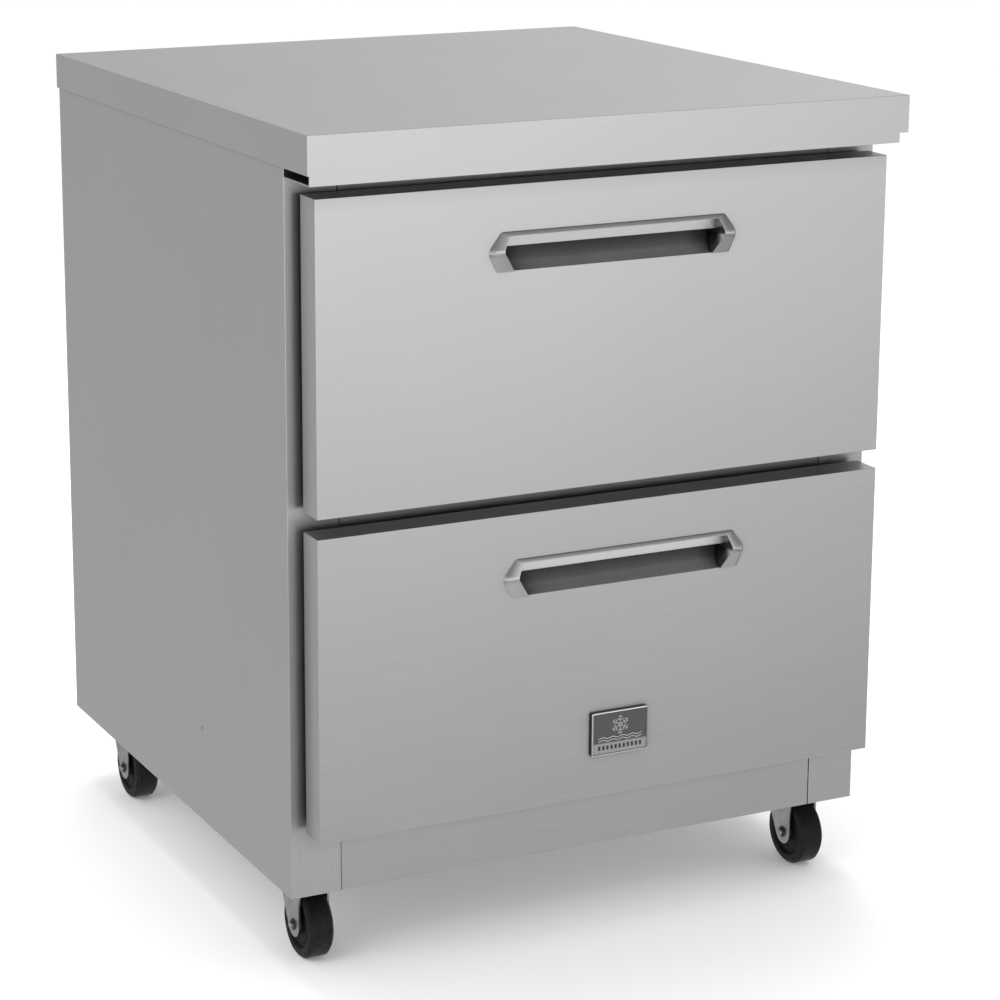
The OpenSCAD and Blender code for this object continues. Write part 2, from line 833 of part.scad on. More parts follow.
// One leg of a fork in Y and Z: a round end at the axle, a straight front and a flared back
module fork_leg() {
    end_r = 14;
    flare = [4, 68];
    reach = [flare[0] + trail, flare[1] - wheel_d / 2];
    a = atan2(reach[1], reach[0]) - acos(end_r / norm(reach));
    difference() {
        union() {
            translate([-trail, wheel_d / 2]) circle(r = end_r);
            polygon([
                [-trail - end_r, wheel_d / 2], [-trail - end_r, 78], [-32, crown_z],
                [-32, crown_z + crown_t], [26, crown_z + crown_t], [26, crown_z], flare,
                [-trail + end_r * cos(a), wheel_d / 2 + end_r * sin(a)]]);
        }
        translate([-trail, wheel_d / 2]) circle(r = axle_r + play);
    }
}

// Bent fork with its axle bolt and nut
module caster_fork(x, y) {
    leg_x = fork_gap + fork_t;
    axle_z = wheel_d / 2;
    color(zinc) translate([x, y, 0]) {
        difference() {
            union() {
                for (start = [-leg_x, fork_gap])
                    translate([start, 0, 0]) rotate([90, 0, 90]) linear_extrude(fork_t) fork_leg();
                block([-leg_x, -32, crown_z], [leg_x, 26, crown_z + crown_t]);
            }
            rod_z([0, 0, crown_z - 1], 10, king_r + 0.06);
        }
        rod_x([-leg_x - 1, -trail, axle_z], 2 * leg_x + 9, axle_r);
        translate([-leg_x - play, -trail, axle_z]) rotate([0, -90, 0])
            cylinder(h = 5, r = 7.5, $fn = 6);
        translate([leg_x + play, -trail, axle_z]) rotate([0, 90, 0]) difference() {
            cylinder(h = 6, r = 7.5, $fn = 6);
            cylinder(h = 13, r = axle_r + 0.02, center = true);
        }
    }
}

// Solid wheel: bored hub, dished sides and a tread with bevelled shoulders
module caster_wheel(x, y) {
    hub = fork_gap - 0.3;
    r = wheel_d / 2;
    half = wheel_w / 2;
    side = [[axle_r + 0.06, hub], [9, hub], [11, 11], [25, 10], [27.5, half - 0.5], [29, half],
            [r - 4, half], [r, half - 3.5]];
    color(black) translate([x, y - trail, r]) rotate([0, 90, 0]) rotate_extrude($fn = 72)
        polygon(concat(side, [for (i = [len(side) - 1 : -1 : 0]) [side[i][0], -side[i][1]]]));
}

worktop();
worktop_stiffeners();
side_panel_left();
side_panel_right();
back_panel();
bottom_pan();
top_pan();
top_rail();
mid_rail();
kick_panel();
breaker_strips();
liner_sides();
liner_floor();
liner_ceiling();
liner_back();
insulation();
slide_pilasters();
upper_cabinet_slides();
lower_cabinet_slides();
upper_middle_slides();
lower_middle_slides();
evaporator_cover();
evaporator_coil();
evaporator_motor();
evaporator_fan();
thermostat();
thermostat_knob();
compressor();
condenser_coil();
condenser_shroud();
condenser_motor();
condenser_fan();
unit_base();
filter_drier();
refrigerant_lines();
rear_grille();
cord_gland();
screws();
caster_plates();
caster_fork(-swivel_x, swivel_y[0]);  // caster_fork_fl
caster_fork(swivel_x, swivel_y[0]);  // caster_fork_fr
caster_fork(-swivel_x, swivel_y[1]);  // caster_fork_bl
caster_fork(swivel_x, swivel_y[1]);  // caster_fork_br
caster_wheel(-swivel_x, swivel_y[0]);  // caster_wheel_fl
caster_wheel(swivel_x, swivel_y[0]);  // caster_wheel_fr
caster_wheel(-swivel_x, swivel_y[1]);  // caster_wheel_bl
caster_wheel(swivel_x, swivel_y[1]);  // caster_wheel_br
drawer_skin(upper_panel_z, upper_handle_x);  // upper_drawer_skin
drawer_skin(lower_panel_z, lower_handle_x);  // lower_drawer_skin
drawer_core(upper_panel_z, upper_handle_x);  // upper_drawer_core
drawer_core(lower_panel_z, lower_handle_x);  // lower_drawer_core
drawer_back(upper_panel_z);  // upper_drawer_back
drawer_back(lower_panel_z);  // lower_drawer_back
drawer_gasket(upper_panel_z);  // upper_drawer_gasket
drawer_gasket(lower_panel_z);  // lower_drawer_gasket
drawer_handle(upper_panel_z, upper_handle_x);  // upper_drawer_handle
drawer_handle(lower_panel_z, lower_handle_x);  // lower_drawer_handle
drawer_frame(upper_opening_z);  // upper_drawer_frame
drawer_frame(opening_z);  // lower_drawer_frame
badge();
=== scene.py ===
"""Looks of a two-drawer undercounter refrigerator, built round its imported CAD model.  Metres."""

import json
import math

import bmesh
import bpy
from mathutils import Matrix, Vector


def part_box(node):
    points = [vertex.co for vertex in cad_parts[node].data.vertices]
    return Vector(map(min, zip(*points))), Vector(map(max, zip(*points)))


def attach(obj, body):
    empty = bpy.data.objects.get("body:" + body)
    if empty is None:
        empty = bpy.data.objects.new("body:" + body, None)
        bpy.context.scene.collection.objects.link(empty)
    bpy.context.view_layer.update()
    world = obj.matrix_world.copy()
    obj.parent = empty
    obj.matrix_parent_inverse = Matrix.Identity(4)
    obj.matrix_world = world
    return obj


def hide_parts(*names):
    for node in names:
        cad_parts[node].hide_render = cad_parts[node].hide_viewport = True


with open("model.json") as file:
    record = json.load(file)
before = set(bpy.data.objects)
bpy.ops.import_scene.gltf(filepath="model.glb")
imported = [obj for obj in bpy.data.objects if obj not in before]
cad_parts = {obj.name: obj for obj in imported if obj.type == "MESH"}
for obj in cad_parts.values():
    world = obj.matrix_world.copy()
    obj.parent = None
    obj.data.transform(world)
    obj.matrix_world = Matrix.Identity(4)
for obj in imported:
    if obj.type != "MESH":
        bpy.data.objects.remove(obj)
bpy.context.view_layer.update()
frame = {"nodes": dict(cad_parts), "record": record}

MM = 0.001
# two things closer than this are taken to be in the same place
TOUCHING = 0.1 * MM
BODIES = frame["record"]["behaviour"]["bodies"]
NODE_BODY = {node: body for body, nodes in BODIES.items() for node in nodes}
NODE_SLOT = {part["node"]: part["material_slot"] for part in frame["record"]["subparts"]}


# ---------------------------------------------------------------- shader helpers

def set_range(node, start, end, low, high):
    """Constants of a Map Range node that takes start..end to low..high."""
    for name, number in (("From Min", start), ("From Max", end), ("To Min", low), ("To Max", high)):
        node.inputs[name].default_value = number


class Shader:
    """A material's node tree with short calls for the nodes used here."""

    def __init__(self, name):
        self.material = bpy.data.materials.new(name)
        self.material.use_nodes = True
        self.tree = self.material.node_tree
        self.surface = self.tree.nodes["Principled BSDF"]
        self.coords = self.tree.nodes.new("ShaderNodeTexCoord").outputs["Object"]

    def link(self, source, target):
        self.tree.links.new(source, target)

    def set(self, **values):
        """Constants on the shader's own sockets, named with _ for a space."""
        for name, value in values.items():
            self.surface.inputs[name.replace("_", " ")].default_value = value

    def stretched(self, scale):
        """Object coordinates scaled by a vector, which stretches a texture along its small axes."""
        mapping = self.tree.nodes.new("ShaderNodeMapping")
        mapping.inputs["Scale"].default_value = scale
        self.link(self.coords, mapping.inputs["Vector"])
        return mapping.outputs["Vector"]

    def noise(self, scale, detail=2.0, vector=None, roughness=0.5):
        node = self.tree.nodes.new("ShaderNodeTexNoise")
        node.inputs["Scale"].default_value = scale
        node.inputs["Detail"].default_value = detail
        node.inputs["Roughness"].default_value = roughness
        self.link(vector or self.coords, node.inputs["Vector"])
        return node.outputs["Fac"]

    def cells(self, scale, feature="F1"):
        node = self.tree.nodes.new("ShaderNodeTexVoronoi")
        node.feature = feature
        node.inputs["Scale"].default_value = scale
        self.link(self.coords, node.inputs["Vector"])
        return node

    def ramp(self, value, low, high, start=0.3, end=0.7):
        """value mapped from start..end to low..high."""
        node = self.tree.nodes.new("ShaderNodeMapRange")
        set_range(node, start, end, low, high)
        self.link(value, node.inputs["Value"])
        return node.outputs["Result"]

    def math(self, operation, a, b):
        node = self.tree.nodes.new("ShaderNodeMath")
        node.operation = operation
        for socket, value in zip(node.inputs, (a, b)):
            if isinstance(value, (int, float)):
                socket.default_value = value
            else:
                self.link(value, socket)
        return node.outputs["Value"]

    def mix(self, a, b, share):
        """A share of a with the rest of b."""
        rest = round(1 - share, 2)
        return self.math("ADD", self.math("MULTIPLY", a, share), self.math("MULTIPLY", b, rest))

    def tint(self, factor, low, high):
        """A colour between two others."""
        node = self.tree.nodes.new("ShaderNodeMix")
        node.data_type = "RGBA"
        node.inputs["A"].default_value = (*low, 1)
        node.inputs["B"].default_value = (*high, 1)
        self.link(factor, node.inputs["Factor"])
        self.link(node.outputs["Result"], self.surface.inputs["Base Color"])
        return node.outputs["Result"]

    def shadowed(self, colour, reach, strength):
        """A colour darkened with painted shade where other surfaces crowd it, as lost light does in
        seams.
        """
        crowd = self.tree.nodes.new("ShaderNodeAmbientOcclusion")
        crowd.samples = 6
        crowd.inputs["Distance"].default_value = reach
        depth = self.math("POWER", crowd.outputs["AO"], strength)
        node = self.tree.nodes.new("ShaderNodeVectorMath")
        node.operation = "SCALE"
        self.link(colour, node.inputs[0])
        self.link(depth, node.inputs["Scale"])
        self.link(node.outputs["Vector"], self.surface.inputs["Base Color"])

    def rough(self, value):
        self.link(value, self.surface.inputs["Roughness"])

    def bump(self, height, strength, distance):
        node = self.tree.nodes.new("ShaderNodeBump")
        node.inputs["Strength"].default_value = strength
        node.inputs["Distance"].default_value = distance
        self.link(height, node.inputs["Height"])
        self.link(node.outputs["Normal"], self.surface.inputs["Normal"])


def grey(value):
    return (value, value, value)


# ---------------------------------------------------------------- materials

# how near another surface has to be for painted shade to darken sheet, plated or painted parts, and
# castings
SHEET_REACH = 32 * MM
PLATE_REACH = 30 * MM
CASTING_REACH = 25 * MM
# brushing is a noise texture squeezed to this share along the scratches
SCRATCH_SQUEEZE = 0.012


def brushed_metal(name, along, dark, light, roughness, grain=900.0, relief=0.05, shade_strength=0.8):
    """Metal with fine scratches along one axis, a soft mottle and slightly uneven gloss."""
    shader = Shader(name)
    shader.set(Metallic=1.0)
    stretch = [1.0, 1.0, 1.0]
    stretch["xyz".index(along)] = SCRATCH_SQUEEZE
    lines = shader.noise(grain, 3.0, shader.stretched(stretch), 0.6)
    mottle = shader.noise(3.2, 3.0)
    blend = shader.mix(lines, mottle, 0.75)
    colour = shader.tint(shader.ramp(blend, 0.0, 1.0), dark, light)
    # painted shade: the colour darkens where other surfaces come near
    shader.shadowed(colour, SHEET_REACH, shade_strength)
    smears = shader.noise(9.0, 3.0, shader.stretched([0.6, 0.6, 1.6]))
    uneven = shader.mix(lines, smears, 0.8)
    shader.rough(shader.ramp(uneven, roughness - 0.03, roughness + 0.04))
    shader.bump(lines, relief, 0.0004)
    return shader.material


def galvanized_metal(name):
    """Zinc-coated sheet with the faint crystal pattern of hot dipping."""
    shader = Shader(name)
    shader.set(Metallic=1.0)
    spangle = shader.cells(90.0)
    shade = shader.tree.nodes.new("ShaderNodeSeparateColor")
    shader.link(spangle.outputs["Color"], shade.inputs["Color"])
    shader.tint(shader.ramp(shade.outputs["Red"], 0.0, 1.0, 0.0, 1.0),
                (0.36, 0.38, 0.39), (0.52, 0.53, 0.54))
    shader.rough(shader.ramp(shade.outputs["Green"], 0.34, 0.52, 0.0, 1.0))
    shader.bump(shader.noise(160.0, 4.0), 0.08, 0.0004)
    return shader.material


def plated_metal(name, dark, light, roughness):
    """Zinc or nickel plate: small grain, slightly cloudy."""
    shader = Shader(name)
    shader.set(Metallic=1.0)
    colour = shader.tint(shader.ramp(shader.noise(70.0, 5.0), 0.0, 1.0), dark, light)
    # painted shade: the colour darkens where other surfaces come near
    shader.shadowed(colour, PLATE_REACH, 1.0)
    shader.rough(shader.ramp(shader.noise(240.0, 3.0), roughness - 0.07, roughness + 0.09))
    shader.bump(shader.noise(700.0, 3.0), 0.1, 0.0003)
    return shader.material


def cast_metal(name):
    """Grained satin casting of the handles' bands and grips."""
    shader = Shader(name)
    shader.set(Metallic=1.0)
    grain = shader.noise(2600.0, 3.0, shader.stretched([0.35, 1.0, 1.0]))
    clouds = shader.noise(60.0, 3.0)
    blend = shader.mix(grain, clouds, 0.5)
    colour = shader.tint(shader.ramp(blend, 0.0, 1.0), grey(0.50), grey(0.57))
    # painted shade: the colour darkens where other surfaces come near
    shader.shadowed(colour, CASTING_REACH, 1.3)
    shader.rough(shader.ramp(blend, 0.30, 0.38))
    shader.bump(grain, 0.04, 0.0002)
    return shader.material


def stucco_aluminium(name):
    """Embossed liner sheet."""
    shader = Shader(name)
    shader.set(Metallic=1.0)
    pebbles = shader.cells(160.0, "SMOOTH_F1").outputs["Distance"]
    shader.tint(shader.ramp(shader.noise(9.0, 4.0), 0.0, 1.0), grey(0.66), grey(0.78))
    shader.rough(shader.ramp(shader.noise(60.0), 0.26, 0.38))
    shader.bump(pebbles, 0.35, 0.0008)
    return shader.material


def moulded(name, dark, light, roughness, grain=420.0, relief=0.15, shade_strength=0):
    """Plastic or paint with a fine surface grain and slightly uneven colour."""
    shader = Shader(name)
    colour = shader.tint(shader.ramp(shader.noise(26.0, 4.0), 0.0, 1.0), dark, light)
    # painted shade: when asked for, the colour darkens where other surfaces come near
    if shade_strength:
        shader.set(Specular_IOR_Level=0.2)
        shader.shadowed(colour, PLATE_REACH, shade_strength)
    shader.rough(shader.ramp(shader.noise(90.0, 3.0), roughness - 0.06, roughness + 0.08))
    shader.bump(shader.noise(grain, 3.0), relief, 0.0004)
    return shader.material


def worn_rubber(name):
    """Black wheel compound: matt, with grey dust in its fine texture."""
    shader = Shader(name)
    dust = shader.math("MULTIPLY", shader.noise(38.0, 6.0), shader.noise(330.0, 4.0))
    shader.tint(shader.ramp(dust, 0.0, 1.0, 0.18, 0.42), grey(0.005), grey(0.011))
    shader.set(Specular_IOR_Level=0.24)
    shader.rough(shader.ramp(shader.noise(120.0, 3.0), 0.50, 0.66))
    shader.bump(shader.noise(800.0, 4.0), 0.25, 0.0004)
    return shader.material


def copper_tube(name):
    """Drawn copper, bright in places and browned in others."""
    shader = Shader(name)
    shader.set(Metallic=1.0)
    shader.tint(shader.ramp(shader.noise(30.0, 6.0), 0.0, 1.0), (0.34, 0.15, 0.08), (0.72, 0.38, 0.24))
    shader.rough(shader.ramp(shader.noise(80.0, 3.0), 0.24, 0.46))
    shader.bump(shader.noise(400.0, 2.0), 0.08, 0.0003)
    return shader.material


def open_foam(name):
    """Poured insulation: pale yellow with fine open cells."""
    shader = Shader(name)
    shader.tint(shader.ramp(shader.noise(120.0, 6.0), 0.0, 1.0), (0.56, 0.46, 0.24), (0.78, 0.68, 0.42))
    shader.rough(shader.ramp(shader.noise(60.0), 0.8, 0.95))
    shader.bump(shader.cells(700.0).outputs["Distance"], 0.5, 0.0008)
    return shader.material


STEEL = (0.555, 0.555, 0.56), (0.605, 0.605, 0.605)
steel_x = brushed_metal("brushed_steel_across", "x", *STEEL, 0.31)
steel_z = brushed_metal("brushed_steel_upright", "z", *STEEL, 0.34)
galvanized = galvanized_metal("galvanized_sheet")
zinc = plated_metal("zinc_plate", grey(0.36), (0.50, 0.50, 0.485), 0.36)
chrome = plated_metal("badge_chrome", grey(0.70), grey(0.84), 0.14)
handle_metal = cast_metal("handle_casting")
# painted shade: the scoop's dark grey and strong darkening near other surfaces stand for the shade inside
# the recess
scoop_shade = moulded("scoop_painted_shade", grey(0.22), grey(0.25), 0.5, 900.0, 0.1, shade_strength=2.4)
# painted light: the grip is the panels' steel made much paler so that it reads as lit
grip_painted_light = brushed_metal("grip_steel_painted_light", "x", grey(0.80), grey(0.86), 0.28, shade_strength=0.25)
fin_aluminium = brushed_metal("fin_aluminium", "z", grey(0.58), grey(0.74), 0.34)
liner_aluminium = stucco_aluminium("liner_stucco")
wheel_rubber = worn_rubber("wheel_rubber")
black_paint = moulded("black_enamel", grey(0.012), grey(0.020), 0.24, 260.0, 0.10)
motor_paint = moulded("motor_enamel", grey(0.020), grey(0.034), 0.40)
black_plastic = moulded("black_plastic", grey(0.018), grey(0.030), 0.46)
grey_plastic = moulded("grey_plastic", grey(0.22), grey(0.27), 0.44)
white_plastic = moulded("white_plastic", (0.72, 0.72, 0.70), (0.80, 0.80, 0.78), 0.36)
gasket_vinyl = moulded("gasket_vinyl", grey(0.030), grey(0.045), 0.52, 600.0, 0.2)
badge_dark = brushed_metal("badge_field", "z", grey(0.13), grey(0.18), 0.40, 2600.0)
badge_light = brushed_metal("badge_strip", "x", grey(0.46), grey(0.55), 0.30, 2600.0)
# painted reflection: a near-black plate for the badge's side walls
badge_side_painted_reflection = plated_metal("badge_side_painted_reflection", grey(0.035), grey(0.075), 0.22)
copper = copper_tube("copper_tube")
foam = open_foam("poured_foam")

SLOT_MATERIAL = {
    "stainless": steel_x, "galvanized": galvanized, "aluminium": liner_aluminium, "zinc": zinc,
    "handle_metal": handle_metal, "badge_chrome": chrome, "wheel_black": wheel_rubber,
    "compressor_paint": black_paint, "motor_paint": motor_paint, "copper": copper,
    "grey_plastic": grey_plastic, "white_plastic": white_plastic, "black_plastic": black_plastic,
    "gasket_vinyl": gasket_vinyl, "foam": foam,
}
NODE_MATERIAL = {
    "worktop": steel_x, "side_panel_left": steel_z, "side_panel_right": steel_z,
    "evaporator_coil": fin_aluminium, "condenser_coil": fin_aluminium,
}


def material_of(node):
    """The material of a CAD node: its own, or that of its slot."""
    return NODE_MATERIAL.get(node, SLOT_MATERIAL[NODE_SLOT[node]])


for node, thing in frame["nodes"].items():
    thing.data.materials.clear()
    thing.data.materials.append(material_of(node))


# ---------------------------------------------------------------- mesh helpers

def smooth(thing, angle=50.0):
    """Smooth shading that keeps creases and keeps large faces flat."""
    thing.data.shade_smooth()
    thing.data.set_sharp_from_angle(angle=math.radians(angle))
    weighted = thing.modifiers.new("flat_faces", "WEIGHTED_NORMAL")
    weighted.keep_sharp = True


def piece(name, mesh, material, like, replaces=True):
    """An object from a bmesh that rides as a CAD node does, and stands for it."""
    bmesh.ops.recalc_face_normals(mesh, faces=mesh.faces)
    data = bpy.data.meshes.new(name)
    mesh.to_mesh(data)
    mesh.free()
    thing = bpy.data.objects.new(name, data)
    bpy.context.scene.collection.objects.link(thing)
    data.materials.append(material)
    smooth(thing)
    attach(thing, NODE_BODY[like])
    if replaces:
        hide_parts(like)
    return thing


def cad_mesh(node):
    """A CAD node's mesh with its flat faces made whole."""
    mesh = bmesh.new()
    mesh.from_mesh(frame["nodes"][node].data)
    bmesh.ops.remove_doubles(mesh, verts=mesh.verts, dist=1e-6)
    bmesh.ops.dissolve_limit(mesh, angle_limit=math.radians(0.5), verts=mesh.verts, edges=mesh.edges)
    return mesh


def bevel(mesh, width, segments=2, where=None, angle=40.0):
    """Rounds the sharp edges, or those whose middle passes the test."""
    edges = [
        e for e in mesh.edges
        if len(e.link_faces) == 2 and e.calc_face_angle(0) > math.radians(angle)
        and (where is None or where((e.verts[0].co + e.verts[1].co) / 2, e.verts[1].co - e.verts[0].co))
    ]
    bmesh.ops.bevel(mesh, geom=edges, offset=width, offset_type="OFFSET", segments=segments,
                    profile=0.5, affect="EDGES", clamp_overlap=True)


def soften(node, width=0.4, segments=2, first=None, seam=0):
    """Stands for a CAD node with its edges rounded; first is (width, test) for broader bends.

    A seam in millimetres draws in the front edges of both ends, which leaves a groove beside them."""
    mesh = cad_mesh(node)
    if seam:
        low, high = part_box(node)
        for v in mesh.verts:
            if v.co.y < low.y + TOUCHING and min(v.co.x - low.x, high.x - v.co.x) < TOUCHING:
                v.co.x -= math.copysign(seam * MM, v.co.x)
    if first:
        bevel(mesh, first[0] * MM, 3, first[1])
    bevel(mesh, width * MM, segments)
    return piece(node + "_shape", mesh, material_of(node), node)


def islands(mesh):
    """The vertices of each separate solid in a mesh."""
    found = []
    todo = set(mesh.verts)
    while todo:
        island = [todo.pop()]
        for v in island:
            for edge in v.link_edges:
                other = edge.other_vert(v)
                if other in todo:
                    todo.remove(other)
                    island.append(other)
        found.append(island)
    return found


def strip(mesh, first, second, closed=False):
    """Quads between two rows of vertices."""
    count = len(first) if closed else len(first) - 1
    for i in range(count):
        j = (i + 1) % len(first)
        mesh.faces.new((first[i], first[j], second[j], second[i]))


def lathe(mesh, profile, centre, axis, steps=96):
    """Turns a closed outline of (radius, along) points round an axis through centre."""
    turn = {
        "x": Matrix.Rotation(math.radians(90), 3, "Y"),
        "y": Matrix.Rotation(math.radians(-90), 3, "X"),
        "z": Matrix.Identity(3),
    }[axis]
    rings = []
    for i in range(steps):
        a = 2 * math.pi * i / steps
        rings.append([
            mesh.verts.new(turn @ Vector((r * math.cos(a), r * math.sin(a), h)) + Vector(centre))
            for r, h in profile])
    for i in range(steps):
        strip(mesh, rings[i], rings[(i + 1) % steps], closed=True)


def rounded(points, radii, steps=5, closed=True):
    """A 2D outline with its corners turned into arcs of steps points each."""
    result = []
    count = len(points)
    for i, (point, radius) in enumerate(zip(points, radii)):
        p = Vector(point)
        ends = not closed and i in (0, count - 1)
        if radius <= 0 or ends:
            result.append(p)
            continue
        before = (Vector(points[i - 1]) - p).normalized()
        after = (Vector(points[(i + 1) % count]) - p).normalized()
        half = before.angle(after) / 2
        back = min(radius / math.tan(half), (Vector(points[i - 1]) - p).length * 0.49,
                   (Vector(points[(i + 1) % count]) - p).length * 0.49)
        start = p + before * back
        end = p + after * back
        for k in range(steps):
            t = k / (steps - 1)
            # a quadratic curve through the corner's tangent points is close to the arc
            result.append(start * (1 - t) ** 2 + p * 2 * t * (1 - t) + end * t ** 2)
    return result


# ---------------------------------------------------------------- camera, light and floor

CAMERA_PLACE = (-1.4730, -2.9804, 1.3133)
CAMERA_DOWN = 13.39
CAMERA_TURN = 25.64
LENS = 106.53
SENSOR = 36
LENS_SHIFT = (0.0744, -0.0982)

# what metal mirrors: (direction from, to, brightness from, to) along each axis
FRONT_UPRIGHT = (-0.55, 0.05, 0.05, 2.30)
FRONT_CEILING = (0.02, 0.30, 1.0, 0.20)
FRONT_FLOOR = (-0.42, -0.66, 0.0, 0.95)
FRONT_ACROSS = (0.44, 0.74, 1.0, 0.35)
REAR_UPRIGHT = (-0.6, 0.4, 1.08, 0.86)
REAR_ACROSS = (0.05, 0.85, 0.665, 1.36)
EVEN_LIGHT = 1.0


def make_camera():
    """The viewpoint: to the left of the front, a little above the worktop."""
    data = bpy.data.cameras.new("camera")
    camera = bpy.data.objects.new("camera", data)
    bpy.context.scene.collection.objects.link(camera)
    camera.location = CAMERA_PLACE
    camera.rotation_euler = (math.radians(90 - CAMERA_DOWN), 0, math.radians(-CAMERA_TURN))
    data.lens = LENS
    data.sensor_width = SENSOR
    data.shift_x, data.shift_y = LENS_SHIFT
    bpy.context.scene.camera = camera


def make_world():
    """Soft surroundings: even light for matt surfaces, and a studio of soft tones for metal to mirror."""
    world = bpy.data.worlds.new("studio")
    bpy.context.scene.world = world
    world.use_nodes = True
    tree = world.node_tree
    output = tree.nodes["World Output"]
    direction = tree.nodes.new("ShaderNodeTexCoord").outputs["Generated"]
    axes = tree.nodes.new("ShaderNodeSeparateXYZ")
    tree.links.new(direction, axes.inputs[0])

    def spread(axis, start, end, low, high):
        node = tree.nodes.new("ShaderNodeMapRange")
        node.interpolation_type = "SMOOTHSTEP"
        set_range(node, start, end, low, high)
        tree.links.new(axes.outputs[axis], node.inputs["Value"])
        return node.outputs["Result"]

    def join(operation, a, b):
        node = tree.nodes.new("ShaderNodeMath")
        node.operation = operation
        tree.links.new(a, node.inputs[0])
        tree.links.new(b, node.inputs[1])
        return node.outputs["Value"]

    def blend(factor, a, b):
        node = tree.nodes.new("ShaderNodeMix")
        tree.links.new(factor, node.inputs["Factor"])
        tree.links.new(a, node.inputs["A"])
        tree.links.new(b, node.inputs["B"])
        return node.outputs["Result"]

    front = join("MULTIPLY", spread("Z", *FRONT_UPRIGHT), spread("X", *FRONT_ACROSS))
    front = join("ADD", join("MULTIPLY", front, spread("Z", *FRONT_CEILING)), spread("Z", *FRONT_FLOOR))
    rear = join("MULTIPLY", spread("Z", *REAR_UPRIGHT), spread("X", *REAR_ACROSS))
    mirrored = tree.nodes.new("ShaderNodeBackground")
    tree.links.new(blend(spread("Y", -0.5, 0.5, 0.0, 1.0), front, rear), mirrored.inputs["Strength"])
    even = tree.nodes["Background"]
    even.inputs["Color"].default_value = (1, 1, 1, 1)
    even.inputs["Strength"].default_value = EVEN_LIGHT
    path = tree.nodes.new("ShaderNodeLightPath")
    mix = tree.nodes.new("ShaderNodeMixShader")
    tree.links.new(path.outputs["Is Glossy Ray"], mix.inputs["Fac"])
    tree.links.new(even.outputs[0], mix.inputs[1])
    tree.links.new(mirrored.outputs[0], mix.inputs[2])
    tree.links.new(mix.outputs[0], output.inputs["Surface"])


def area_light(name, place, target, size, power):
    """A soft round light that metal does not mirror."""
    data = bpy.data.lights.new(name, "AREA")
    data.shape = "DISK"
    data.size = size
    data.energy = power
    light = bpy.data.objects.new(name, data)
    bpy.context.scene.collection.objects.link(light)
    light.location = place
    light.rotation_euler = (Vector(target) - Vector(place)).to_track_quat("-Z", "Y").to_euler()
    light.visible_glossy = False
    return light


def make_floor():
    """A plain white floor, wider than any view of it."""
    mesh = bmesh.new()
    bmesh.ops.create_grid(mesh, x_segments=2, y_segments=2, size=30)
    data = bpy.data.meshes.new("floor")
    mesh.to_mesh(data)
    mesh.free()
    floor = bpy.data.objects.new("floor", data)
    bpy.context.scene.collection.objects.link(floor)
    shader = Shader("floor_white")
    shader.tint(shader.ramp(shader.noise(1.5, 3.0), 0.0, 1.0), grey(0.90), grey(0.92))
    shader.set(Roughness=0.9, Emission_Color=(1, 1, 1, 1), Emission_Strength=0.12)
    data.materials.append(shader.material)
    floor.visible_glossy = False


make_camera()
make_world()
area_light("overhead", (0.3, 1.0, 3.6), (0, 0, 0.3), 2.4, 65)
area_light("left_fill", (-2.6, -1.2, 2.2), (0, 0, 0.2), 2.0, 25)
make_floor()
bpy.context.scene.view_settings.view_transform = "Standard"


# ---------------------------------------------------------------- sheet metal of the cabinet

top_low, top_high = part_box("worktop")
side_low, side_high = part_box("side_panel_right")


def worktop_edge(middle, along):
    """The folds round the top and down the corners of the aprons."""
    apron = 45 * MM
    shortest_corner = 20 * MM
    outside = max(abs(middle.x) - top_high.x, abs(middle.y) - top_high.y) > -TOUCHING
    round_the_top = middle.z > top_high.z - TOUCHING
    return outside and middle.z > top_high.z - apron and (round_the_top or abs(along.z) > shortest_corner)


soften("worktop", 0.35, 2, (0.4, worktop_edge))


def side_corner(middle, along):
    """The tall bend between a side and its front stile."""
    return abs(middle.x) > side_high.x - TOUCHING and abs(along.z) > 0.5 and middle.y < 0


for node in ("side_panel_left", "side_panel_right"):
    soften(node, 0.5, 2, (0.7, side_corner))
for node in ("top_rail", "mid_rail", "kick_panel"):
    soften(node, 0.3, seam=1.1)
for node in ("back_panel", "rear_grille", "breaker_strips"):
    soften(node, 0.3)


def side_rivet():
    """One small rivet head low on the left side."""
    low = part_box("side_panel_left")[0]
    behind_the_front = 249 * MM
    above_the_bottom = 110 * MM
    mesh = bmesh.new()
    dome = [(0.01, -0.8), (1.3, -0.7), (2.1, -0.3), (2.3, 0), (2.3, 0.4), (0.01, 0.4)]
    place = (low.x, low.y + behind_the_front, low.z + above_the_bottom)
    lathe(mesh, [(r * MM, along * MM) for r, along in dome], place, "x", 24)
    piece("side_rivet", mesh, zinc, "side_panel_left", replaces=False)


side_rivet()


def drawer_edge(node):
    """A test for the folds round a drawer's front, away from the open back of its skin."""
    low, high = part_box(node)

    def outer(middle, along):
        near = [abs(middle[i] - side[i]) for i in (0, 2) for side in (low, high)]
        return min(near) < TOUCHING and middle.y < high.y - 1 * MM
    return outer


for level in ("upper", "lower"):
    node = level + "_drawer_skin"
    soften(node, 0.3, 2, (0.6, drawer_edge(node)))
    soften(level + "_drawer_back", 0.8)
    soften(level + "_drawer_frame", 0.3)


# ---------------------------------------------------------------- recessed handles

def extrude_x(mesh, outline, x0, x1):
    """A bar along X with a closed outline of (y, z) points."""
    ends = [[mesh.verts.new((x, y, z)) for y, z in outline] for x in (x0, x1)]
    strip(mesh, ends[0], ends[1], closed=True)
    mesh.faces.new(ends[0])
    mesh.faces.new(list(reversed(ends[1])))


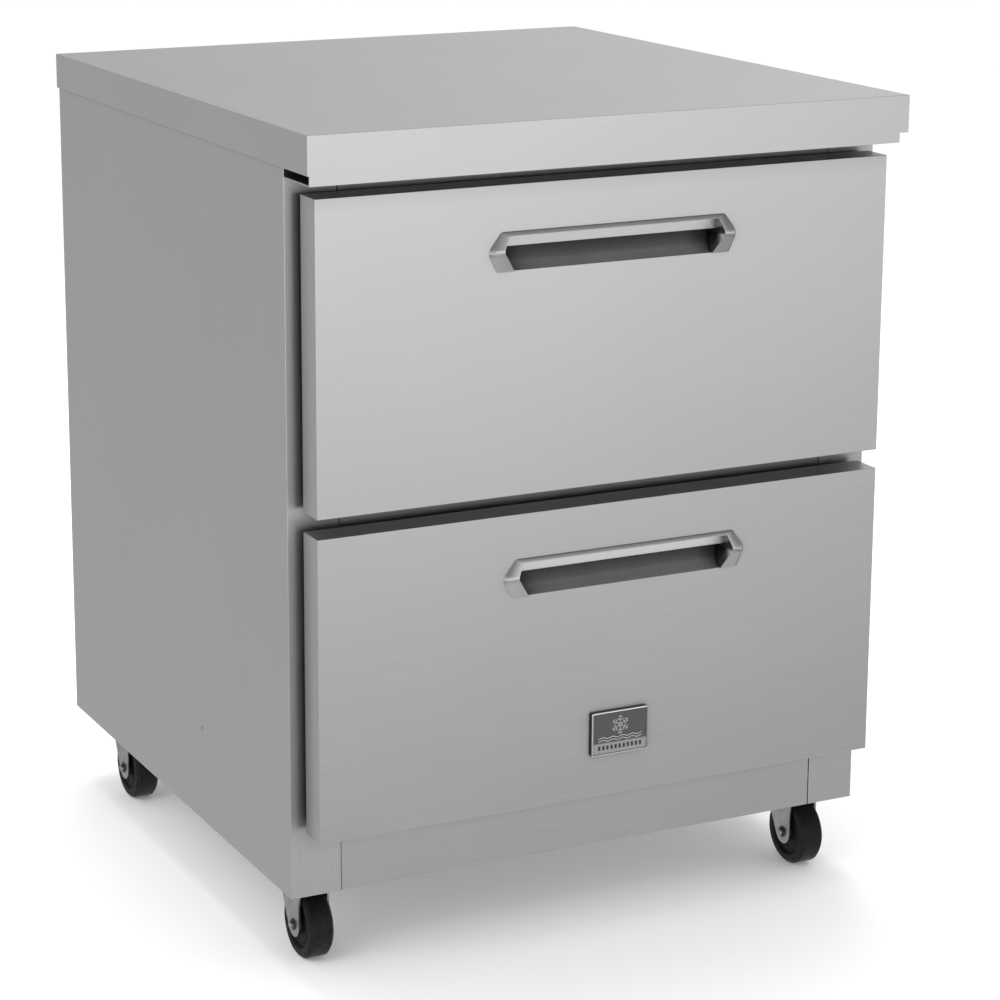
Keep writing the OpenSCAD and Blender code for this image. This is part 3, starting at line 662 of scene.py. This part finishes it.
def handle(level):
    """A cast frame with pointed ends, open below, a recessed grip lip and the scoop behind it.

    Sizes are in millimetres: x along the handle, z up from its middle, proud towards the front."""
    node = level + "_drawer_handle"
    low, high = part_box(node)
    panel_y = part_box(level + "_drawer_skin")[0].y
    half = (high.x - low.x) / 2 / MM
    top = (high.z - low.z) / 2 / MM
    rim = 4.5
    ridge = (panel_y - low.y) / MM - 0.4
    pocket = (high.y - panel_y) / MM - 2
    lip = top - 0.45
    flat = 4
    middle = Vector(((low.x + high.x) / 2, panel_y, high.z - top * MM))

    def place(x, z, proud):
        return middle + Vector((x, -proud, z)) * MM

    def both_ends(corners):
        """The left end's corners from the bottom up, then the same on the right from the top down."""
        return [(-x, z) for x, z in corners] + [(x, z) for x, z in reversed(corners)]

    def swell(z):
        """The face is highest at mid height and falls away above and below."""
        return ridge - (ridge - 1.2) * (math.hypot(z, flat) - flat) / (top - flat)

    def scoop_depth(z):
        """A quarter ellipse from the lower lip to the pocket's full depth."""
        rise = min(max((z + lip) / (lip + 2), 0), 1)
        return pocket * math.sqrt(1 - (1 - rise) ** 2)

    def outline(bottom, tip, upper, radii, z_top=top):
        """A frame line through three corners at each end, each given by its distance from the middle."""
        r_bottom, r_tip, r_top = radii
        corners = both_ends([(bottom, -top), (tip, 0), (upper, z_top)])
        return rounded(corners, [r_bottom, r_tip, r_top, r_top, r_tip, r_bottom], 9, closed=False)

    outer = outline(half - 10, half, half - 15.5, (0, 12, 5))
    crest = outline(half - 13.5, half - 5, half - 18, (0, 11, 4), top - 1)
    inner = outline(half - 30.5, half - 17, half - 23.5, (0, 6, 2.5), top - rim)
    wall = outline(half - 31, half - 22, half - 20, (0, 4, 1), top - rim)
    mesh = bmesh.new()
    rows = [
        [mesh.verts.new(place(p.x, p.y, 0)) for p in outer],
        [mesh.verts.new(place(p.x, p.y, swell(p.y))) for p in crest],
        [mesh.verts.new(place(p.x, p.y, swell(p.y))) for p in inner],
        [mesh.verts.new(place(p.x, p.y, -scoop_depth(p.y) - 0.4)) for p in wall]]
    for first, second in zip(rows, rows[1:] + rows[:1]):
        strip(mesh, first, second)
    for end in (0, -1):
        mesh.faces.new([row[end] for row in rows])
    bevel(mesh, 0.5 * MM, 3, angle=22)
    piece(node + "_shape", mesh, handle_metal, node)

    # the grip hangs from under the top rim and slopes back into the pocket
    mesh = bmesh.new()
    grip_top = top - 4.2
    grip_bottom = 3.5
    corners = [(-5.5, grip_top), (-10, grip_bottom), (-11.6, grip_bottom), (-7.5, grip_top)]
    grip = [(panel_y - p.x * MM, middle.z + p.y * MM) for p in rounded(corners, [0, 0.7, 0.7, 0])]
    reach = half - 20
    extrude_x(mesh, grip, middle.x - reach * MM, middle.x + reach * MM)
    piece(node + "_grip", mesh, grip_painted_light, node, replaces=False)

    # the scoop is a thin shell: its inside line, then the same line a wall's thickness further out
    mesh = bmesh.new()
    steps = 16
    ceiling = top - 3.5
    rises = [1 - math.cos(math.pi / 2 * i / steps) for i in range(steps + 1)]
    levels = [0.01 - lip + (lip + 1.99) * rise for rise in rises]
    inside = [(scoop_depth(z), z) for z in levels]
    inside += [(pocket, top - 7), (pocket - 3, ceiling), (2, ceiling)]
    outside = [(y + 1.2 if y > 0.5 else y, z - 0.8 if z < 0 else z + 0.6) for y, z in inside]
    shell = [(panel_y + y * MM, middle.z + z * MM) for y, z in inside + outside[::-1]]
    reach = half - 19.5
    extrude_x(mesh, shell, middle.x - reach * MM, middle.x + reach * MM)
    piece(node + "_scoop", mesh, scoop_shade, node, replaces=False)


for level in ("upper", "lower"):
    handle(level)


# ---------------------------------------------------------------- badge

def ribbon(mesh, points, width, y0, y1):
    """A flat raised band along a line of (x, z) points, from y0 to y1."""
    rows = []
    for i, p in enumerate(points):
        ahead = Vector(points[min(i + 1, len(points) - 1)]) - Vector(points[max(i - 1, 0)])
        side = Vector((-ahead.y, ahead.x)).normalized() * width / 2
        a, b = Vector(p) + side, Vector(p) - side
        rows.append([mesh.verts.new((q.x, y, q.y)) for q, y in ((a, y0), (a, y1), (b, y1), (b, y0))])
    for first, second in zip(rows, rows[1:]):
        strip(mesh, first, second, closed=True)
    mesh.faces.new(rows[0])
    mesh.faces.new(rows[-1])


def badge():
    """A chrome plate with a dark field, a snowflake, two lines of cold air and a plain strip."""
    low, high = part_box("badge")
    centre = (low + high) / 2
    half_w = (high.x - low.x) / 2 / MM
    half_h = (high.z - low.z) / 2 / MM
    face = low.y
    border = 2.1

    def loop(mesh, inset, out, bottom=None, top=None):
        """A rounded rectangle of vertices, inset from the badge's edge, at a distance out along Y."""
        x = half_w - inset
        z0 = -half_h + inset if bottom is None else bottom
        z1 = half_h - inset if top is None else top
        corner = max(2.2 - inset, 0.5)
        outline = rounded([(-x, z0), (x, z0), (x, z1), (-x, z1)], [corner] * 4)
        return [mesh.verts.new((centre.x + p.x * MM, out, centre.z + p.y * MM)) for p in outline]

    mesh = bmesh.new()
    thick = (high.y - face) / MM
    loops = [loop(mesh, inset, face + out * MM) for inset, out in
             ((0.3, thick), (0, thick - 0.3), (0, 1.0), (0.25, 0.4), (0.8, 0), (1.6, 0), (1.9, 0.8))]
    for first, second in zip(loops, loops[1:]):
        strip(mesh, first, second, closed=True)
    mesh.faces.new(loops[0])
    mesh.faces.new(loops[-1])
    # painted reflection: side faces behind the rim get the near-black plate
    for f in mesh.faces:
        behind_the_rim = f.calc_center_median().y > face + 1.0 * MM
        f.material_index = int(abs(f.normal.y) < 0.5 and behind_the_rim)
    plate = piece("badge_plate", mesh, chrome, "badge")
    plate.data.materials.append(badge_side_painted_reflection)

    split = -11.0
    gap = 0.4
    for name, material, z0, z1 in (("badge_field", badge_dark, split + gap, half_h - border),
                                   ("badge_strip", badge_light, -half_h + border, split - gap)):
        mesh = bmesh.new()
        rows = [loop(mesh, border, face + out * MM, z0, z1) for out in (0.85, 0.45)]
        strip(mesh, rows[0], rows[1], closed=True)
        mesh.faces.new(rows[0])
        mesh.faces.new(rows[1])
        bevel(mesh, 0.12 * MM, 1)
        piece(name, mesh, material, "badge", replaces=False)

    def at(x, z):
        return (centre.x + x * MM, centre.z + z * MM)

    mesh = bmesh.new()
    y0 = face + 0.5 * MM
    y1 = face + 0.05 * MM
    hub = Vector((0, 8))
    arm_length = 10.5
    for arm in range(6):
        a = math.radians(60 * arm + 30)
        out = Vector((math.cos(a), math.sin(a)))
        tip = hub + out * arm_length
        ribbon(mesh, [at(*hub), at(*tip)], 1.2 * MM, y0, y1)
        for share, length in ((0.42, 4.0), (0.72, 3.0)):
            root = hub + out * arm_length * share
            for turn in (-50, 50):
                b = a + math.radians(turn)
                ribbon(mesh, [at(*root), at(*(root + Vector((math.cos(b), math.sin(b))) * length))],
                       1.0 * MM, y0, y1)
    for level in (-4.9, -7.9):
        wave = [at(x * 0.95, level + 0.8 * math.sin(x * 0.5)) for x in range(-28, 29)]
        ribbon(mesh, wave, 1.1 * MM, y0, y1)
    piece("badge_emblem", mesh, chrome, "badge", replaces=False)

    mesh = bmesh.new()
    pips = 11
    pitch = 5
    for i in range(pips):
        x = (i - (pips - 1) / 2) * pitch
        ribbon(mesh, [at(x, -18.4), at(x, -13.8)], 2.6 * MM, face + 0.55 * MM, face + 0.35 * MM)
    piece("badge_pips", mesh, black_plastic, "badge", replaces=False)


badge()


# ---------------------------------------------------------------- casters

def wheel(corner):
    """A solid wheel: a bored hub, dished sides with a raised ring, and a tread with soft shoulders."""
    node = "caster_wheel_" + corner
    low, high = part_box(node)
    centre = (low + high) / 2
    r = (high.z - low.z) / 2 / MM
    half = 14.0
    # one side from the bore out to the tread, as (radius, half width, corner radius)
    hub = [(4.1, 15.2, 0), (9, 15.2, 0.8), (10.5, 11.5, 1)]
    ring = [(17, 10.6, 1), (18, 11.6, 0.4), (21, 11.6, 0.4), (22, 10.4, 1)]
    rim = [(25.5, 10.2, 1), (27.5, 13.4, 0.8), (29, half, 0.6)]
    tread = [(r - 3.6, half, 1.6), (r, half - 3.4, 2.4)]
    side = hub + ring + rim + tread
    outline = rounded([(a, b) for a, b, c in side] + [(a, -b) for a, b, c in reversed(side)],
                      [c for a, b, c in side] + [c for a, b, c in reversed(side)], 4)
    mesh = bmesh.new()
    lathe(mesh, [(p.x * MM, p.y * MM) for p in outline], centre, "x")
    piece(node + "_shape", mesh, wheel_rubber, node)


def fork(corner):
    """The bent fork, and a riveted axle with a domed end over a black ring of painted shade on each side.
    """
    node = "caster_fork_" + corner
    wheel_low, wheel_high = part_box("caster_wheel_" + corner)
    axle = (wheel_low + wheel_high) / 2
    mesh = cad_mesh(node)
    bolt_reach = 32 * MM
    for island in islands(mesh):
        if max((v.co - axle).length for v in island) < bolt_reach:
            bmesh.ops.delete(mesh, geom=island, context="VERTS")
    bevel(mesh, 0.5 * MM)

    # distances along the axle from the middle of the wheel
    end = 23.0
    face = 17.9
    rim = rounded([(0.01, end), (4.0, end), (4.0, face)], [0, 2.2, 0], 5)
    shaft = [(p.x * MM, p.y * MM) for p in rim]
    lathe(mesh, shaft + [(r, -along) for r, along in reversed(shaft)], axle, "x", 48)
    piece(node + "_shape", mesh, zinc, node)

    # painted shade: black rings round the axle ends where shade falls
    shade_rings = bmesh.new()
    for side in (-1, 1):
        outline = [(4.1, face), (6.2, face), (6.2, face + 1.0), (5.9, face + 1.3), (4.1, face + 1.3)]
        lathe(shade_rings, [(r * MM, side * along * MM) for r, along in outline], axle, "x", 48)
    piece(node + "_washers", shade_rings, black_plastic, node, replaces=False)


for corner in ("fl", "fr", "bl", "br"):
    wheel(corner)
    fork(corner)
soften("caster_plates", 0.4)


# ---------------------------------------------------------------- seals

def gasket(level):
    """A magnetic seal: a flat base, folded bellows and the magnet's bulb, mitred at the corners."""
    node = level + "_drawer_gasket"
    low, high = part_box(node)
    depth = (high.y - low.y) / MM
    width = 20
    base = [(0, 0), (0, 1.4)]
    bellows = [(3.5, 2.0), (2.0, 3.6), (3.9, 5.0), (2.4, 6.4)]
    half = base + bellows + [(2.4, depth - 0.8), (3.2, depth)]
    radii = [0.3, 0.3, 0.5, 0.5, 0.5, 0.5, 0.6, 0.4]
    section = rounded(half + [(width - u, v) for u, v in reversed(half)], radii + radii[::-1], 4)
    mesh = bmesh.new()
    rows = []
    for x, z, dx, dz in ((low.x, low.z, 1, 1), (high.x, low.z, -1, 1),
                         (high.x, high.z, -1, -1), (low.x, high.z, 1, -1)):
        rows.append([
            mesh.verts.new((x + dx * p.x * MM, low.y + p.y * MM, z + dz * p.x * MM)) for p in section])
    for i in range(4):
        strip(mesh, rows[i], rows[(i + 1) % 4], closed=True)
    piece(node + "_shape", mesh, gasket_vinyl, node)


for level in ("upper", "lower"):
    gasket(level)


# ---------------------------------------------------------------- back of the cabinet

def louvre_hoods():
    """Pressed hoods over the grille's slots."""
    low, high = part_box("rear_grille")
    face = high.y - 0.3 * MM
    last = high.z - 40 * MM
    pitch = 15 * MM
    overlap = 2
    end_wall = 0.9 * MM
    mesh = bmesh.new()
    z = low.z + 26 * MM
    while z <= last + 1e-6:
        angles = [math.pi / 12 * i for i in range(7)]
        curve = [(3.9 * math.sin(a), 1.5 + 8.5 * math.cos(a)) for a in angles]
        inside = [(max(y - 0.9, 0), h - 0.7 if y > 0.4 else h - 1.2) for y, h in curve[:-1]]
        inside.append((3.0, 1.5))
        shell = [(face + y * MM, z + h * MM) for y, h in curve + inside[::-1]]
        cap = [(face + y * MM, z + h * MM) for y, h in curve + [(0, 1.5)]]
        for start, length in ((-290, 180), (-90, 180), (110, 120)):
            x0 = (start - overlap) * MM
            x1 = (start + length + overlap) * MM
            extrude_x(mesh, shell, x0, x1)
            extrude_x(mesh, cap, x0 - end_wall, x0)
            extrude_x(mesh, cap, x1, x1 + end_wall)
        z += pitch
    piece("rear_grille_hoods", mesh, galvanized, "rear_grille", replaces=False)


def screw_recess_painted_shade():
    """Cross recesses in the heads of the screws that hold the back panels, drawn as thin black crosses of
    painted shade.
    """
    screws = cad_mesh("screws")
    arm = 2.3 * MM
    mesh = bmesh.new()
    for island in islands(screws):
        low, high = (Vector(pick(v.co[i] for v in island) for i in range(3)) for pick in (min, max))
        if high.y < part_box("back_panel")[1].y:
            continue
        x = (low.x + high.x) / 2
        z = (low.z + high.z) / 2
        for dx, dz in ((arm, 0), (0, arm)):
            groove = [(x - dx, z - dz), (x + dx, z + dz)]
            # painted shade: a thin black cross set into the head
            ribbon(mesh, groove, 1.0 * MM, high.y - 0.6 * MM, high.y + 0.04 * MM)
    screws.free()
    piece("screw_recess_painted_shade", mesh, black_plastic, "screws", replaces=False)


louvre_hoods()
soften("cord_gland", 0.5)
soften("screws", 0.3)
screw_recess_painted_shade()


# ---------------------------------------------------------------- inside

def fan_guard():
    """A wire guard in front of the evaporator fan."""
    cover_low, cover_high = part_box("evaporator_cover")
    fan_low, fan_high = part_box("evaporator_fan")
    centre = (fan_low + fan_high) / 2
    centre.y = cover_low.y - 1.6 * MM
    wire = 1.2
    sides = 8
    angles = [2 * math.pi * i / sides for i in range(sides)]
    mesh = bmesh.new()
    for ring in range(16, 89, 12):
        section = [((ring + wire * math.cos(a)) * MM, wire * math.sin(a) * MM) for a in angles]
        lathe(mesh, section, centre, "y", 64)
    for spoke in range(4):
        turn = Matrix.Rotation(math.radians(45 + 90 * spoke), 3, "Y")
        section = [(wire * MM * math.cos(a), wire * MM * math.sin(a)) for a in angles]
        ends = []
        for x in (14 * MM, 90 * MM):
            ends.append([
                mesh.verts.new(turn @ Vector((x, y + 0.4 * MM, z)) + centre) for y, z in section])
        strip(mesh, ends[0], ends[1], closed=True)
        mesh.faces.new(ends[0])
        mesh.faces.new(ends[1])
    piece("evaporator_fan_guard", mesh, zinc, "evaporator_cover", replaces=False)


def thermostat_ticks():
    """Plain ticks round the knob's travel."""
    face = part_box("thermostat")[0].y
    knob_low, knob_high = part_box("thermostat_knob")
    x = (knob_low.x + knob_high.x) / 2
    z = (knob_low.z + knob_high.z) / 2
    travel = 135
    step = 27
    mesh = bmesh.new()
    for turn in range(-travel, travel + 1, step):
        a = math.radians(turn)
        ends = [(x + r * MM * math.sin(a), z + r * MM * math.cos(a)) for r in (16.5, 19.0)]
        ribbon(mesh, ends, 0.9 * MM, face + 0.4 * MM, face - 0.08 * MM)
    piece("thermostat_ticks", mesh, black_plastic, "thermostat", replaces=False)


fan_guard()
thermostat_ticks()
for node, width in (("evaporator_cover", 0.8), ("thermostat", 1.0), ("thermostat_knob", 0.6),
                    ("slide_pilasters", 0.25), ("compressor", 0.8)):
    soften(node, width)
for level in ("upper", "lower"):
    for part in ("cabinet_slides", "middle_slides"):
        soften(level + "_" + part, 0.25)
